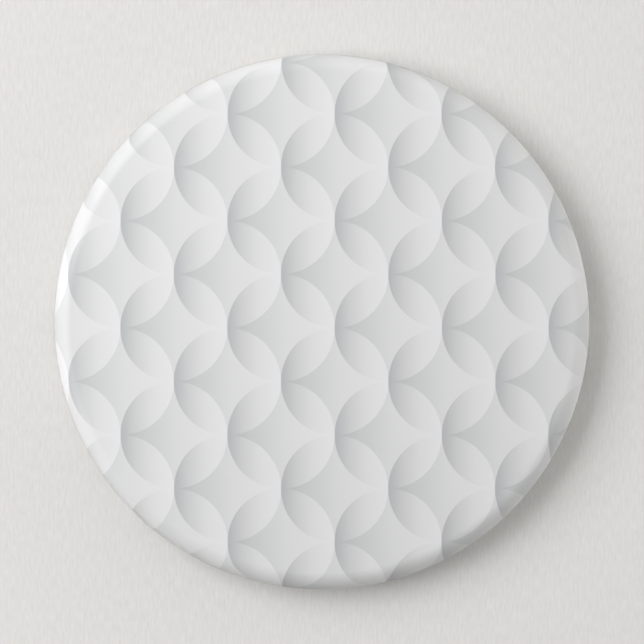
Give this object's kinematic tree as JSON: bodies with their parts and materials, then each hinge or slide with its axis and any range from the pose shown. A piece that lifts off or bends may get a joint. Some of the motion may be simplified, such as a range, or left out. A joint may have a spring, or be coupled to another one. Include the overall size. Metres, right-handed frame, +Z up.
{
  "type": "button badge",
  "caption": "Round domed tin button badge: printed paper under clear film, crimped round a stamped back plate with a sprung wire pin.",
  "frame": {"origin": "centre of the badge's bounding box, on the badge's axis halfway between the crown of the face and the back of the rim", "axes": "-Y out of the printed face, +Y out of the back, +Z up the artwork, +X along the pin's arm towards its point"},
  "size_m": [0.1016, 0.009, 0.1016],
  "materials": {
    "clear_film": "clear gloss",
    "printed_paper": "printed paper, satin",
    "tin_shell": "tinplate",
    "tin_back": "tinplate, satin bright",
    "spring_wire": "drawn spring wire, nickel-plated"
  },
  "bodies": {
    "badge": {"clear_film": "clear_film", "artwork_print": "printed_paper", "front_shell": "tin_shell", "back_plate": "tin_back", "pin_anchor": "spring_wire", "pin_coil": "spring_wire"},
    "pin": {"pin_arm": "spring_wire"}
  },
  "joints": [
    {"name": "pin_swing", "type": "hinge", "parent": "badge", "child": "pin", "pos_m": [-0.025, 0.0029, 0.014], "axis": [0, 0.9659, 0.2588], "range_deg": [0, 40], "stiffness_Nm_per_rad": 0.18, "deforming": ["pin_coil"]}
  ]
}
